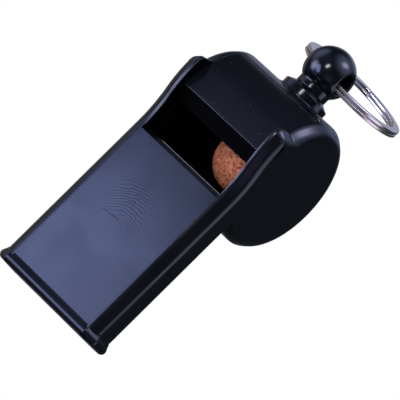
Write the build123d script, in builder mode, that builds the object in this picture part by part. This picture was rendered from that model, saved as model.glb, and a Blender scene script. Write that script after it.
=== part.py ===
from build123d import *

import math
import os

import numpy as np

# Pea whistle with a swivelling split ring. All sizes are in millimetres.
# +X runs from the mouthpiece to the ring, +Z is up through the window, and Y = 0 is the mid plane.
# Most profiles are drawn from the barrel's axis; the frame's origin is under the middle of the whole.

# Barrel, chamber and the width between the side plates
barrel_radius = 11.67
chamber_radius = 10.1
core_half = 8.75

# Mouthpiece: tip, bead, roof, windway and floor
tip_x = -38.0
bead_length = 2.0
bead_height = 0.4
bead_round = 0.35
mouth_top = 11.4
mouth_bottom = 4.5
roof_under = 10.2
roof_rear_x = -8.95
floor_rear_x = -8.1
floor_exit = 8.8
floor_mouth = 7.6

# Lip over the window
lip_edge_x = -2.1
lip_edge_flat = 0.15
lip_top_x = 0.28

# Seam left by the mould across the barrel's rear
seam_angle = 27.0
seam_width = 0.25
seam_depth = 0.15

# Side plates: cheeks, bevelled rim, locating disc and the grooves for the roof's tongues
rim_flat = 0.55
bevel_across = 1.65
bevel_drop = 1.2
cheek_start_x = -8.5
crest_x = 3.6
crest_z = 13.7
step_top = (5.1, 12.8)
step_foot_x = 5.7
disc_gap = 0.1
disc_depth = 0.5
tongue_depth = 0.6
tongue_thick = 0.5
tongue_front_x = -35.0
tongue_rear_x = -11.0
groove_gap = 0.05

# Cork pea, lying a little forward of the chamber's lowest point
pea_radius = 5.2
pea_orbit = 4.75
pea_angle = 12.0

# Swivel: boss, collar, knob and washer on one axis along X
stem_z = -2.4
boss_radius = 4.7
boss_face_x = 11.75
collar_radius = 4.2
collar_length = 1.85
collar_chamfer = (0.6, 1.1)
sleeve_radius = 2.3
sleeve_gap = 0.02
pocket_radius = 2.95
pocket_floor_x = 10.6
bore_radius = 1.6
shank_radius = 1.55
shank_end_x = 10.1
washer_radius = 2.7
washer_front_x = 10.05
washer_length = 0.45
washer_gap = 0.01
neck_radius = 2.9
neck_gap = 0.1
ball_radius = 4.2
ball_x = 17.95
hole_radius = 1.85
hole_round = 0.35
mouth_reach = hole_radius + 0.1

# Split ring: flat wire wound twice, stepping from one turn to the other in a short joggle.
# It lies a few degrees askew in the ball's hole, a little to the front and to the right side.
ring_radius = 9.82
wire_width = 1.4
wire_thick = 0.545
turn_gap = 0.12
ring_offset = 8.62
ring_slip = -0.5
ring_shift = 0.57
ring_swing = 13.6
ring_yaw = 7.15
joggle_start = 225.0
joggle_end = 255.0
joggle_steps = 6
end_gap = 3.0

# Places worked out from the sizes
outer_half = core_half + rim_flat + bevel_across
bevel_angle = math.degrees(math.atan2(bevel_drop, bevel_across))
collar_face_x = boss_face_x + collar_length
neck_front_x = collar_face_x + neck_gap
swing = math.radians(ring_swing)
yaw = math.radians(ring_yaw)
ring_half = wire_thick + turn_gap / 2
ring_dip = ring_radius * math.hypot(math.cos(swing), math.sin(yaw) * math.sin(swing))
ring_drop = ring_offset * math.cos(swing) + ring_shift * math.sin(yaw) * math.sin(swing)
ring_bottom = ring_drop + ring_dip + (ring_half - ring_slip) * math.cos(yaw) * math.sin(swing)
ring_reach = ring_radius * math.hypot(math.sin(swing), math.sin(yaw) * math.cos(swing))
ring_back = ring_offset * math.sin(swing) - ring_shift * math.sin(yaw) * math.cos(swing)
ring_rear = ring_back + ring_reach + (ring_half + ring_slip) * math.cos(yaw) * math.cos(swing)
drum_x = -(tip_x + ball_x + max(ball_radius, ring_rear)) / 2
drum_z = ring_bottom - stem_z


def side_plane(y=0.0):
    """Plane across the whistle at y, drawn from the barrel's axis: x to the rear, y up."""
    return Plane(origin=(drum_x, y, drum_z), x_dir=(1, 0, 0), z_dir=(0, -1, 0))


def front_plane(x):
    """Plane square to X at x from the barrel's axis: x along Y, y up, facing the rear."""
    return Plane(origin=(drum_x + x, 0, drum_z), x_dir=(0, 1, 0), z_dir=(1, 0, 0))


def circle_z(radius, x):
    """Height of a circle about the barrel's axis at x."""
    return math.sqrt(radius**2 - x**2)


stem_side = Plane(origin=(drum_x, 0, drum_z + stem_z), x_dir=(1, 0, 0), z_dir=(0, -1, 0))
stem_axis = Axis((drum_x, 0, drum_z + stem_z), (1, 0, 0))


# Outline of a side plate's inner face, drawn flat from the barrel's axis: cheek, step and round of the barrel
cheek_mid = ((cheek_start_x + crest_x) / 2, (mouth_top + crest_z) / 2)
step_foot = (step_foot_x, circle_z(barrel_radius, step_foot_x))
heel = (-circle_z(barrel_radius, mouth_bottom), mouth_bottom)
with BuildLine() as plate_outline:
    Line((tip_x + bead_length, mouth_bottom), (tip_x + bead_length, mouth_top))
    Line((tip_x + bead_length, mouth_top), (cheek_start_x, mouth_top))
    TangentArc((cheek_start_x, mouth_top), cheek_mid, tangent=(1, 0))
    TangentArc((crest_x, crest_z), cheek_mid, tangent=(-1, 0))
    TangentArc((crest_x, crest_z), step_top, tangent=(1, 0))
    Line(step_top, step_foot)
    ThreePointArc(step_foot, (0, -barrel_radius), heel)
    Line(heel, (tip_x + bead_length, mouth_bottom))

# Barrel body: barrel, lip, windway floor and swivel boss in one moulding
with BuildPart() as barrel_body:
    with BuildSketch(side_plane()):
        Circle(barrel_radius)
        with BuildLine():
            Polyline(
                (tip_x, mouth_bottom),
                (floor_rear_x, mouth_bottom),
                (floor_rear_x, floor_exit),
                (tip_x, floor_mouth),
                close=True,
            )
        make_face()
        with BuildLine():
            Polyline(
                (tip_x, mouth_bottom),
                (tip_x, mouth_bottom - bead_height),
                (tip_x + bead_length, mouth_bottom - bead_height),
                (tip_x + bead_length, mouth_bottom),
                close=True,
            )
        make_face()
        Circle(chamber_radius, mode=Mode.SUBTRACT)
        lip_edge_z = circle_z(chamber_radius, lip_edge_x)
        with BuildLine():
            Polyline(
                (floor_rear_x, mouth_bottom),
                (lip_edge_x, lip_edge_z - lip_edge_flat),
                (lip_edge_x, lip_edge_z + lip_edge_flat),
                (lip_top_x, circle_z(barrel_radius, lip_top_x)),
                (lip_top_x, crest_z),
                (floor_rear_x, crest_z),
                close=True,
            )
        make_face(mode=Mode.SUBTRACT)
        with PolarLocations(barrel_radius, 1, start_angle=seam_angle):
            Rectangle(2 * seam_depth, seam_width, mode=Mode.SUBTRACT)
    extrude(amount=core_half, both=True)
    with BuildSketch(stem_side):
        with BuildLine():
            Polyline(
                (chamber_radius / 2, 0),
                (chamber_radius / 2, boss_radius),
                (boss_face_x, boss_radius),
                (boss_face_x, 0),
                close=True,
            )
        make_face()
    revolve(axis=stem_axis)
    with BuildSketch(side_plane()):
        Circle(chamber_radius)
    extrude(amount=core_half, both=True, mode=Mode.SUBTRACT)
    with BuildSketch(stem_side):
        with BuildLine():
            Polyline(
                (chamber_radius / 2, 0),
                (chamber_radius / 2, pocket_radius),
                (pocket_floor_x, pocket_radius),
                (pocket_floor_x, sleeve_radius + sleeve_gap),
                (boss_face_x, sleeve_radius + sleeve_gap),
                (boss_face_x, 0),
                close=True,
            )
        make_face()
    revolve(axis=stem_axis, mode=Mode.SUBTRACT)
    under_edges = barrel_body.edges().filter_by(Axis.Y).group_by(Axis.X)[0].sort_by(Axis.Z)[:1]
    fillet(under_edges, bead_round)
barrel_body.part.label = "barrel_body"

# Roof plate: flat top of the mouthpiece with its bead and two tongues
with BuildPart() as roof_plate:
    with BuildSketch(side_plane()):
        with BuildLine():
            Polyline(
                (tip_x, roof_under),
                (roof_rear_x, roof_under),
                (roof_rear_x, mouth_top),
                (tip_x + bead_length, mouth_top),
                (tip_x + bead_length, mouth_top + bead_height),
                (tip_x, mouth_top + bead_height),
                close=True,
            )
        make_face()
    extrude(amount=core_half, both=True)
    bead_edges = roof_plate.edges().filter_by(Axis.Y).group_by(Axis.Z)[-1]
    fillet(bead_edges, bead_round)
    tongue_z = (roof_under + mouth_top) / 2
    with BuildSketch(side_plane()):
        with Locations(((tongue_front_x + tongue_rear_x) / 2, tongue_z)):
            Rectangle(tongue_rear_x - tongue_front_x, tongue_thick)
    extrude(amount=core_half + tongue_depth, both=True)
roof_plate.part.label = "roof_plate"

# Right side plate: cheek, disc and bead end, with a locating disc inside the chamber
with BuildPart() as right_side_plate:
    with BuildSketch(side_plane(-core_half)):
        add(plate_outline.line)
        make_face()
    extrude(amount=rim_flat)
    with BuildSketch(side_plane(-core_half - rim_flat)):
        add(plate_outline.line)
        make_face()
    extrude(amount=bevel_across, taper=bevel_angle)
    with BuildSketch(front_plane(tip_x)):
        with BuildLine():
            Polyline(
                (-core_half, mouth_top + bead_height),
                (-core_half - rim_flat, mouth_top + bead_height),
                (-outer_half - bead_height, mouth_top - bevel_drop),
                (-outer_half - bead_height, mouth_bottom + bevel_drop),
                (-core_half - rim_flat, mouth_bottom - bead_height),
                (-core_half, mouth_bottom - bead_height),
                close=True,
            )
        make_face()
    extrude(amount=bead_length)
    tip_edges = right_side_plate.edges().group_by(Axis.X)[0].sort_by(Axis.Y)[:-1]
    fillet(tip_edges, bead_round)
    with BuildSketch(side_plane(-core_half)):
        Circle(chamber_radius - disc_gap)
    extrude(amount=-disc_depth)
    with BuildSketch(side_plane(-core_half)):
        with Locations(((tongue_front_x + tongue_rear_x) / 2, tongue_z)):
            Rectangle(tongue_rear_x - tongue_front_x + 2 * groove_gap, tongue_thick + 2 * groove_gap)
    extrude(amount=tongue_depth + groove_gap, mode=Mode.SUBTRACT)
right_side_plate.part.label = "right_side_plate"

# Left side plate: mirror image of the right one
with BuildPart() as left_side_plate:
    mirror(right_side_plate.part, about=Plane.XZ)
left_side_plate.part.label = "left_side_plate"

# Cork pea
pea_turn = math.radians(pea_angle)
pea_place = (drum_x - pea_orbit * math.sin(pea_turn), 0, drum_z - pea_orbit * math.cos(pea_turn))
with BuildPart() as cork_pea:
    with Locations(pea_place):
        Sphere(pea_radius)
cork_pea.part.label = "cork_pea"

# Swivel collar: flange on the boss with a sleeve through the wall
with BuildPart() as swivel_collar:
    with BuildSketch(stem_side):
        with BuildLine():
            Polyline(
                (pocket_floor_x, bore_radius),
                (collar_face_x, bore_radius),
                (collar_face_x, collar_radius - collar_chamfer[1]),
                (collar_face_x - collar_chamfer[0], collar_radius),
                (boss_face_x + collar_chamfer[0] / 2, collar_radius),
                (boss_face_x, collar_radius - collar_chamfer[0] / 2),
                (boss_face_x, sleeve_radius),
                (pocket_floor_x, sleeve_radius),
                close=True,
            )
        make_face()
    revolve(axis=stem_axis)
swivel_collar.part.label = "swivel_collar"

# Ball knob: shank, neck and ball in one piece, with a cross hole for the ring
neck_rear_x = ball_x - circle_z(ball_radius, neck_radius)
with BuildPart() as ball_knob:
    with BuildSketch(stem_side):
        with BuildLine():
            Polyline(
                (ball_x + ball_radius, 0),
                (shank_end_x, 0),
                (shank_end_x, shank_radius),
                (neck_front_x, shank_radius),
                (neck_front_x, neck_radius),
                (neck_rear_x, neck_radius),
            )
            ThreePointArc((neck_rear_x, neck_radius), (ball_x, ball_radius), (ball_x + ball_radius, 0))
        make_face()
    revolve(axis=stem_axis)
    with BuildSketch(stem_side):
        with Locations((ball_x, 0)):
            Circle(hole_radius)
    extrude(amount=ball_radius, both=True, mode=Mode.SUBTRACT)
    mouth_edges = ball_knob.faces().filter_by(GeomType.SPHERE)[0].edges().filter_by_position(
        Axis.X, drum_x + ball_x - mouth_reach, drum_x + ball_x + mouth_reach
    )
    fillet(mouth_edges, hole_round)
ball_knob.part.label = "ball_knob"

# Washer that holds the shank, sunk in the chamber's wall
with BuildPart() as shank_washer:
    with BuildSketch(stem_side):
        with BuildLine():
            Polyline(
                (washer_front_x, shank_radius + washer_gap),
                (washer_front_x, washer_radius),
                (washer_front_x + washer_length, washer_radius),
                (washer_front_x + washer_length, shank_radius + washer_gap),
                close=True,
            )
        make_face()
    revolve(axis=stem_axis)
shank_washer.part.label = "shank_washer"

# Split ring: angles run from the ball hole towards the right side
ring_mean = ring_radius - wire_width / 2
turn_height = (wire_thick + turn_gap) / 2
ring_plane = Plane(
    origin=(
        drum_x + ball_x + ring_back + ring_slip * math.cos(yaw) * math.cos(swing),
        -ring_slip * math.sin(yaw) - ring_shift * math.cos(yaw),
        drum_z + stem_z - ring_drop + ring_slip * math.cos(yaw) * math.sin(swing),
    ),
    x_dir=(-math.sin(swing), 0, math.cos(swing)),
    z_dir=(math.cos(yaw) * math.cos(swing), -math.sin(yaw), math.cos(yaw) * math.sin(swing)),
)
turn_arc = 360 - (joggle_end - joggle_start) - end_gap


def wire_height(angle):
    """Height of the wire's middle across the ring in the joggle: an eased step between the turns."""
    t = (angle - joggle_start) / (joggle_end - joggle_start)
    return turn_height * (2 * t * t * (3 - 2 * t) - 1)


def wire_plane(angle, height):
    """Plane across the wire at an angle: x outward, y across the turns."""
    a = math.radians(angle)
    middle = ring_plane.from_local_coords(Vector(ring_mean * math.cos(a), ring_mean * math.sin(a), height))
    radial = ring_plane.x_dir * math.cos(a) + ring_plane.y_dir * math.sin(a)
    along = ring_plane.y_dir * math.cos(a) - ring_plane.x_dir * math.sin(a)
    return Plane(origin=middle, x_dir=radial, z_dir=along)


ring_axis = Axis(ring_plane.origin, ring_plane.z_dir)
with BuildPart() as split_ring:
    for start, height, turn in (
        (joggle_start, -turn_height, -turn_arc),
        (joggle_end, turn_height, turn_arc),
    ):
        with BuildSketch(wire_plane(start, height)):
            Rectangle(wire_width, wire_thick)
        revolve(axis=ring_axis, revolution_arc=turn)
    for step in range(joggle_steps + 1):
        angle = joggle_start + (joggle_end - joggle_start) * step / joggle_steps
        with BuildSketch(wire_plane(angle, wire_height(angle))):
            Rectangle(wire_width, wire_thick)
    loft()
split_ring.part.label = "split_ring"


def least_ring_gap(count=400):
    """Least distance between the wire's facing flats, over points half a turn or more apart along it."""
    first = np.linspace(joggle_end + end_gap - 360, joggle_start, count)
    step = np.linspace(joggle_start, joggle_end, count // 10)[1:-1]
    last = np.linspace(joggle_end, joggle_start - end_gap + 360, count)
    angle = np.concatenate([first, step, last])
    t = np.clip((angle - joggle_start) / (joggle_end - joggle_start), 0, 1)
    height = turn_height * (2 * t * t * (3 - 2 * t) - 1)
    rad = np.radians(angle)
    lower = np.stack([ring_mean * np.cos(rad), ring_mean * np.sin(rad), height - wire_thick / 2], axis=1)
    upper = lower + [0, 0, wire_thick]
    apart = np.abs(angle[:, None] - angle[None, :]) >= 180
    gaps = np.linalg.norm(upper[:, None] - lower[None, :], axis=2)
    return gaps[apart].min()


print(f"split ring, least gap between its turns: {least_ring_gap():.3f} mm")

os.makedirs("parts", exist_ok=True)
for piece in (
    barrel_body,
    roof_plate,
    left_side_plate,
    right_side_plate,
    cork_pea,
    swivel_collar,
    ball_knob,
    shank_washer,
    split_ring,
):
    export_step(piece.part, f"parts/{piece.part.label}.step")
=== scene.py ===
"""Looks of a moulded pea whistle with a swivelling split ring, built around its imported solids.

Every size is in millimetres from the barrel's axis (x to the ring, y to the left side, z up);
meshes are stored in metres in the part's own frame.
"""

import logging
import math
from dataclasses import dataclass, field
from enum import Enum
from typing import Any, Callable

import bmesh
import bpy
import numpy as np
from mathutils import Matrix, Vector


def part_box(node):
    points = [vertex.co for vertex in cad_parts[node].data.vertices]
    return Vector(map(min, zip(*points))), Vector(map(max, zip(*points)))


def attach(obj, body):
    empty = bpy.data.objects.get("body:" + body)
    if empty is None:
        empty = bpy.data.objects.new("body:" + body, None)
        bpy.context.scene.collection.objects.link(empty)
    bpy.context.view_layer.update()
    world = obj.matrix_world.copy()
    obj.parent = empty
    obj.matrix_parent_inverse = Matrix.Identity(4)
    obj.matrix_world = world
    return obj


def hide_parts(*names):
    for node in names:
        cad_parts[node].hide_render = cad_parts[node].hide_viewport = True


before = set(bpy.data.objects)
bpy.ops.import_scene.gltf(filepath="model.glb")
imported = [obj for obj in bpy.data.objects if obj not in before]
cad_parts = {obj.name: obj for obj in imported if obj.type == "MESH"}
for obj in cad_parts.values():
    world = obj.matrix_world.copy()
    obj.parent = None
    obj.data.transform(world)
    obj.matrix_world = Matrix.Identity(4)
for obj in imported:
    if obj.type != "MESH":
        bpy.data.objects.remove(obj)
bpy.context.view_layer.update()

MM = 0.001
SMOOTH_BELOW = math.radians(34)
# Distances in metres below which points merge and slivers go
MERGE_BELOW = 1e-7
FLAT_BELOW = 1e-8
# Points on a rounded corner, and the limits of how far its spare points stand off
CORNER_STEPS = 7
SPARE_OF_CUT = 0.7
SPARE_OF_RADIUS = 0.5
SPARE_REACH = 0.04
# Centre of the polishing lines' rings, in metres from their patch
SWIRL_ASIDE = (0.004, 0.006, 0.0)
Array = np.ndarray
Pair = tuple[float, float]
Triple = tuple[float, float, float]
Colour = tuple[float, float, float, float]
Window = tuple[int, int, int, int]
log = logging.getLogger("whistle")


class Side(Enum):
    """The two side plates, by the sign of their y."""

    LEFT = 1
    RIGHT = -1


@dataclass(frozen=True)
class Plan:
    """Sizes that more than one piece shares.

    The solids' boxes give the barrel's axis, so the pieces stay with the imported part.
    """

    barrel_radius: float = 11.67
    chamber_radius: float = 10.1
    core_half: float = 8.75
    tip_x: float = -38.0
    bead_length: float = 2.0
    bead_height: float = 0.4
    bead_crown: float = 0.8
    bead_slope: float = 1.25
    bead_steps: int = 14
    mouth_top: float = 11.4
    mouth_bottom: float = 4.5
    stem_z: float = -2.4
    boss_face_x: float = 11.75
    collar_face_x: float = 13.6
    ball_x: float = 17.95
    ball_radius: float = 4.2

    def axis(self) -> Array:
        """Returns the barrel axis's place in the part's frame, in millimetres."""
        low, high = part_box("barrel_body")
        return np.array([high.x / MM - self.boss_face_x, 0.0, low.z / MM + self.barrel_radius])

    def heel(self) -> float:
        """Returns the angle at which the mouthpiece's underside meets the barrel, in degrees below zero."""
        return 180 - math.degrees(math.asin(self.mouth_bottom / self.barrel_radius)) - 360


PLAN = Plan()


# Curves and surfaces

def arc(radius: float, start: float, end: float, count: int) -> Array:
    """Points on a circle about the axis, at equal steps of angle.

    Args:
        radius: circle's radius.
        start: first angle in degrees, counted from +x towards +z.
        end: last angle in degrees.
        count: number of points, both ends included.

    Returns:
        Array (count, 2) of x, z.
    """
    a = np.radians(np.linspace(start, end, count))
    return radius * np.stack([np.cos(a), np.sin(a)], axis=1)


def join(runs: list[Array]) -> tuple[Array, Array]:
    """Returns runs of points end to end, and the index at which each run starts."""
    return np.vstack(runs), np.cumsum([0] + [len(run) for run in runs])


def tangent_arc(start: Pair, end: Pair, heading: float, count: int) -> Array:
    """Arc that leaves a point along x and ends at another point.

    The centre lies straight above or below the start, at (dx^2 + dz^2) / (2 dz).

    Args:
        start: first point, where the arc runs along x.
        end: last point.
        heading: +1 or -1, the way along x in which it leaves.
        count: number of points.

    Returns:
        Array (count, 2) of x, z.
    """
    dx = end[0] - start[0]
    dz = end[1] - start[1]
    radius = (dx * dx + dz * dz) / (2 * dz)
    sweep = math.atan2(heading * dx, abs(radius) - abs(dz))
    t = np.linspace(0.0, sweep, count)
    x = start[0] + heading * abs(radius) * np.sin(t)
    z = start[1] + radius * (1 - np.cos(t))
    return np.stack([x, z], axis=1)


def soften(path: Array, radii: dict[int, float], steps: int = CORNER_STEPS) -> Array:
    """Closed path with some of its corners rounded.

    At a named corner both sides are cut back by radius * tan(turn / 2), and an arc of that radius
    joins the cuts. A spare point beside each end of the arc keeps the shading of the flats even.

    Args:
        path: array (n, 2) of corners in order.
        radii: radius for each corner that is rounded, by its index.
        steps: points on each arc.

    Returns:
        Array (m, 2) of the rounded path.
    """
    runs = []
    done = 0
    for i, radius in sorted(radii.items()):
        point = path[i]
        come = point - path[i - 1]
        come = come / np.linalg.norm(come)
        go = path[(i + 1) % len(path)] - point
        go = go / np.linalg.norm(go)
        turn = math.atan2(come[0] * go[1] - come[1] * go[0], float(come @ go))
        cut = radius * math.tan(abs(turn) / 2)
        side = math.copysign(1.0, turn) * np.array([-come[1], come[0]])
        centre = point - come * cut + side * radius
        t = np.linspace(0.0, abs(turn), steps)[:, None]
        bend = centre + radius * (come * np.sin(t) - side * np.cos(t))
        spare = min(cut * SPARE_OF_CUT, radius * SPARE_OF_RADIUS, SPARE_REACH)
        runs += [path[done:i], bend[:1] - come * spare, bend, bend[-1:] + go * spare]
        done = i + 1
    return np.vstack([*runs, path[done:]])


def inset(path: Array, depth: Array) -> Array:
    """Copies of a closed clockwise path moved inwards, like the walls of a tapered block.

    Each point moves along the mitre of its two sides, (n1 + n2) / (1 + n1 . n2).

    Args:
        path: array (n, 2).
        depth: array (k,) of distances inwards.

    Returns:
        Array (k, n, 2).
    """
    side = np.roll(path, -1, axis=0) - path
    side = side / np.linalg.norm(side, axis=1, keepdims=True)
    inward = np.stack([side[:, 1], -side[:, 0]], axis=1)
    last = np.roll(inward, 1, axis=0)
    mitre = (inward + last) / (1 + (inward * last).sum(axis=1, keepdims=True))
    return path[None] + np.asarray(depth)[:, None, None] * mitre[None]


def spin(profile: Array, count: int) -> Array:
    """Surface of revolution about x: point (x, r) goes to (x, r cos a, r sin a).

    Args:
        profile: array (n, 2) of x, r.
        count: points round the circle; the last column isn't repeated.

    Returns:
        Grid (n, count, 3).
    """
    a = np.linspace(0.0, 2 * np.pi, count, endpoint=False)
    x = np.repeat(profile[:, :1], count, axis=1)
    return np.stack([x, profile[:, 1:] * np.cos(a), profile[:, 1:] * np.sin(a)], axis=2)


def stem_circle(turn: Array, radius: Any, x: Any) -> Array:
    """Circle about the stem: angle a gives (x, r cos a, r sin a), with z counted from the stem.

    Args:
        turn: angles (n,) of its points.
        radius: its radius r, one number or one for each point.
        x: its place along the stem, one number or one for each point.

    Returns:
        Array (n, 3).
    """
    z = PLAN.stem_z + radius * np.sin(turn)
    return np.stack([x + 0 * z, radius * np.cos(turn), z], axis=1)


@dataclass
class Shell:
    """Collects grids and flat caps into one closed mesh."""

    name: str
    points: list[Array] = field(default_factory=list)
    painted_glint: list[Array] = field(default_factory=list)
    faces: list[list[int]] = field(default_factory=list)
    count: int = 0

    def _store(self, points: Array, painted_glint: Array | None = None) -> Array:
        """Keeps points of any grid shape, with their wear.

        Args:
            points: array (..., 3).
            painted_glint: strength of the painted highlight on each point, 0 to 1, in a shape that fits;
                without it they take none.

        Returns:
            The points' numbers, in the same grid shape.
        """
        shape = points.shape[:-1]
        size = int(np.prod(shape))
        self.points.append(points.reshape(-1, 3))
        self.painted_glint.append(np.zeros(size) if painted_glint is None else np.broadcast_to(painted_glint, shape).ravel())
        numbers = np.arange(self.count, self.count + size).reshape(shape)
        self.count += size
        return numbers

    def grid(self, points: Array, round_rows: bool = False, round_columns: bool = False,
             windows: tuple[Window, ...] = (), painted_glint: Array | None = None) -> None:
        """Adds a surface of four-sided faces over a grid of points.

        Args:
            points: grid (rows, columns, 3).
            round_rows: joins the last row to the first.
            round_columns: joins the last column to the first.
            windows: first and last row, first and last column of each part that is left open.
            painted_glint: strength of the painted highlight on each point, 0 to 1, in a shape that fits
                (rows, columns).
        """
        n = self._store(points, painted_glint)
        if round_rows:
            n = np.concatenate([n, n[:1]], axis=0)
        if round_columns:
            n = np.concatenate([n, n[:, :1]], axis=1)
        quads = np.stack([n[:-1, :-1], n[:-1, 1:], n[1:, 1:], n[1:, :-1]], axis=2)
        keep = np.ones(quads.shape[:2], bool)
        for r0, r1, c0, c1 in windows:
            keep[r0:r1, c0:c1] = False
        self.faces += quads[keep].tolist()

    def cap(self, loop: Array) -> None:
        """Closes a flat loop of points (n, 3) with one face."""
        self.faces.append(self._store(loop).tolist())

    def tube(self, points: Array, painted_glint: Array | None = None) -> None:
        """Adds a grid that is round along its columns and closed at its first and last row.

        Args:
            points: grid (rows, columns, 3).
            painted_glint: strength of the painted highlight on each point, as for a grid.
        """
        self.grid(points, round_columns=True, painted_glint=painted_glint)
        self.cap(points[0])
        self.cap(points[-1])

    def prism(self, path: Array, low: float, high: float) -> None:
        """Adds a block: an outline (n, 2) of x, z carried along y from low to high."""
        self.tube(np.stack([np.insert(path, 1, y, axis=1) for y in (low, high)]))

    def build(self, materials: list[bpy.types.Material], body: str, nodes: tuple[str, ...],
              inside: Callable[[Array], Array] | None = None) -> bpy.types.Object:
        """Makes the object, puts it on its body and hides the solids that it stands for.

        Args:
            materials: finish of the outside and, for a hollow piece, the darker painted-shade finish of the
                inside.
            body: body that the piece moves with.
            nodes: solids that it replaces.
            inside: tells from the faces' middles (n, 3) which of them take the second finish.

        Returns:
            The new object, at the origin with its place in its mesh.
        """
        places = (np.vstack(self.points) + PLAN.axis()) * MM
        mesh = bpy.data.meshes.new(self.name)
        mesh.from_pydata(places, [], self.faces)
        # Strength of the painted highlight lines along chosen edges, on each point
        layer = mesh.attributes.new("painted_glint", "FLOAT", "POINT")
        layer.data.foreach_set("value", np.concatenate(self.painted_glint).astype(np.float32))
        edit = bmesh.new()
        edit.from_mesh(mesh)
        bmesh.ops.remove_doubles(edit, verts=edit.verts, dist=MERGE_BELOW)
        bmesh.ops.dissolve_degenerate(edit, edges=edit.edges, dist=FLAT_BELOW)
        bmesh.ops.recalc_face_normals(edit, faces=edit.faces)
        edit.to_mesh(mesh)
        edit.free()
        mesh.polygons.foreach_set("use_smooth", np.ones(len(mesh.polygons), bool))
        mesh.set_sharp_from_angle(angle=SMOOTH_BELOW)
        for material in materials:
            mesh.materials.append(material)
        if inside:
            middles = np.empty(len(mesh.polygons) * 3)
            mesh.polygons.foreach_get("center", middles)
            chosen = inside(middles.reshape(-1, 3) / MM - PLAN.axis())
            mesh.polygons.foreach_set("material_index", chosen.astype(np.int32))
        piece = bpy.data.objects.new(self.name, mesh)
        show(piece)
        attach(piece, body)
        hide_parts(*nodes)
        log.info("%s: %d faces on body %s", self.name, len(mesh.polygons), body)
        return piece


def show(thing: bpy.types.Object) -> None:
    """Puts an object into the scene."""
    bpy.context.scene.collection.objects.link(thing)


def rim_of(points: Array, window: Window) -> Array:
    """Points round a window of a grid, once round, starting at its first row and first column.

    Args:
        points: grid (rows, columns, 3).
        window: first and last row, first and last column.

    Returns:
        Array (n, 3).
    """
    r0, r1, c0, c1 = window
    return np.concatenate([
        points[r0, c0:c1],
        points[r0:r1, c1],
        points[r1, c1:c0:-1],
        points[r1:r0:-1, c0],
    ])


# Finishes

class Graph:
    """Adds nodes to a shader tree and links them by name."""

    def __init__(self, tree: bpy.types.NodeTree) -> None:
        """Keeps the tree that is built."""
        self.tree = tree

    def add(self, kind: str, inputs: dict[Any, Any] | None = None, **settings: Any) -> bpy.types.Node:
        """Adds a node.

        Args:
            kind: node type without the ShaderNode prefix.
            inputs: value or output socket for each named or numbered input.
            settings: properties of the node itself.

        Returns:
            The node.
        """
        node = self.tree.nodes.new("ShaderNode" + kind)
        for name, value in settings.items():
            setattr(node, name, value)
        for name, value in (inputs or {}).items():
            self.feed(node, name, value)
        return node

    def feed(self, node: bpy.types.Node, name: Any, value: Any) -> None:
        """Links an output socket to an input, or sets the input's value.

        Args:
            node: node that is fed.
            name: name or number of its input.
            value: output socket or plain value.
        """
        if isinstance(value, bpy.types.NodeSocket):
            self.tree.links.new(value, node.inputs[name])
        else:
            node.inputs[name].default_value = value

    def math(self, operation: str, a: Any, b: Any = 0.0, clamp: bool = False) -> bpy.types.NodeSocket:
        """Result of a Math node on two numbers or sockets."""
        return self.add("Math", {0: a, 1: b}, operation=operation, use_clamp=clamp).outputs[0]

    def vector(self, operation: str, a: Any, b: Any) -> bpy.types.NodeSocket:
        """Result of a Vector Math node on two vectors or sockets."""
        return self.add("VectorMath", {0: a, 1: b}, operation=operation).outputs[0]

    def length(self, vector: Any) -> bpy.types.NodeSocket:
        """Length of a vector."""
        return self.add("VectorMath", {0: vector}, operation="LENGTH").outputs["Value"]

    def blend(self, factor: Any, a: Any, b: Any) -> bpy.types.NodeSocket:
        """Colour between two others.

        Args:
            factor: 0 gives a, 1 gives b.
            a: first colour.
            b: second colour.

        Returns:
            Socket of the mixed colour.
        """
        # A Mix node's colours are its inputs 6 and 7 and its output 2
        return self.add("Mix", {0: factor, 6: a, 7: b}, data_type="RGBA").outputs[2]

    def between(self, value: Any, low: Any, high: Any, to_low: float,
                to_high: float) -> bpy.types.NodeSocket:
        """Value mapped smoothly from one range to another and held at its ends.

        Args:
            value: number or socket.
            low: value that gives to_low.
            high: value that gives to_high.
            to_low: result at the low end.
            to_high: result at the high end.

        Returns:
            Socket of the result.
        """
        node = self.add("MapRange", {0: value, 1: low, 2: high, 3: to_low, 4: to_high})
        node.interpolation_type = "SMOOTHSTEP"
        return node.outputs[0]

    def noise(self, vector: Any, scale: Any, detail: float, rough: float) -> bpy.types.NodeSocket:
        """Fractal noise between 0 and 1."""
        node = self.add("TexNoise", {"Vector": vector, "Scale": scale, "Detail": detail, "Roughness": rough})
        return node.outputs[0]


def effect(name: str, inputs: dict[str, float], outputs: tuple[str, ...],
           make: Callable[[Graph, Any], dict[str, Any]]) -> bpy.types.NodeTree:
    """Makes a shared node group that reads a Vector and some numbers.

    Args:
        name: name of the group.
        inputs: number sockets and their first values.
        outputs: number sockets that it gives.
        make: function that adds the nodes and returns the socket for each output.

    Returns:
        The group.
    """
    tree = bpy.data.node_groups.new(name, "ShaderNodeTree")
    tree.interface.new_socket("Vector", in_out="INPUT", socket_type="NodeSocketVector")
    for key, value in inputs.items():
        socket = tree.interface.new_socket(key, in_out="INPUT", socket_type="NodeSocketFloat")
        socket.default_value = value
    for key in outputs:
        tree.interface.new_socket(key, in_out="OUTPUT", socket_type="NodeSocketFloat")
    graph = Graph(tree)
    start = tree.nodes.new("NodeGroupInput")
    end = tree.nodes.new("NodeGroupOutput")
    for key, socket in make(graph, start.outputs).items():
        tree.links.new(socket, end.inputs[key])
    return tree


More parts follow.
